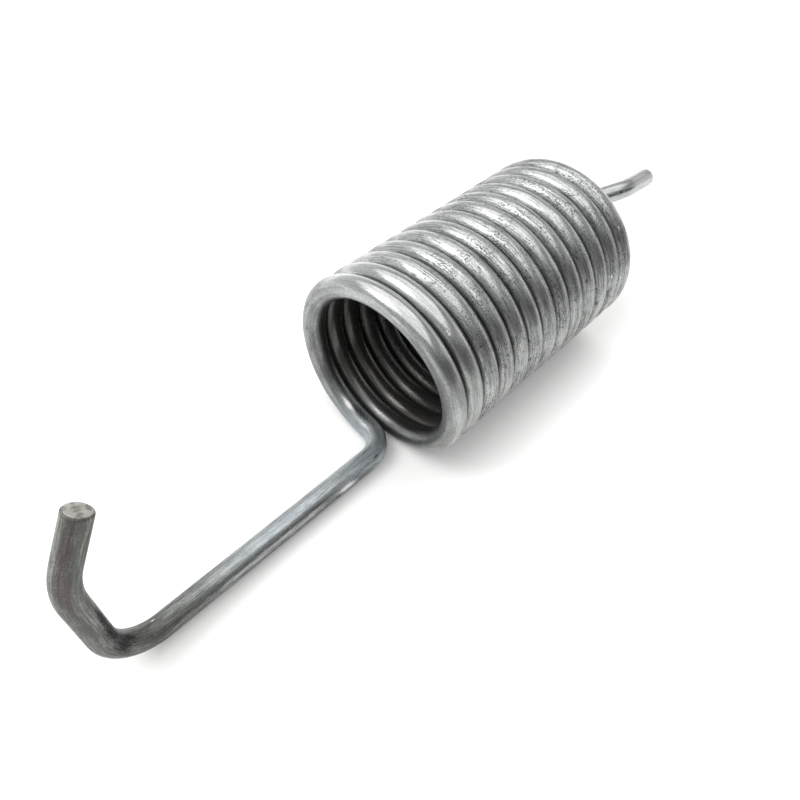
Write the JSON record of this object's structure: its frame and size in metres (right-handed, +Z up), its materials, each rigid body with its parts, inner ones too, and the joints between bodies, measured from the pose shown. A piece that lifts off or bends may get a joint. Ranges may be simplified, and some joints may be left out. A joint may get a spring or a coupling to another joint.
{
  "type": "extension spring",
  "caption": "Close-wound extension spring of round wire, with a long side arm and open hook at its near end and a short cranked leg at its far end.",
  "frame": {"origin": "on the surface that the spring lies on, under the middle of its length and width", "axes": "+X along the coil's axis from the hook to the leg, +Y to the left of it, +Z up as the spring lies"},
  "size_m": [0.1296, 0.031, 0.031],
  "materials": {
    "wire": "drawn spring wire, bright and slightly worn, with fine draw lines along it"
  },
  "bodies": {
    "root": {"spring": "wire"}
  },
  "joints": []
}
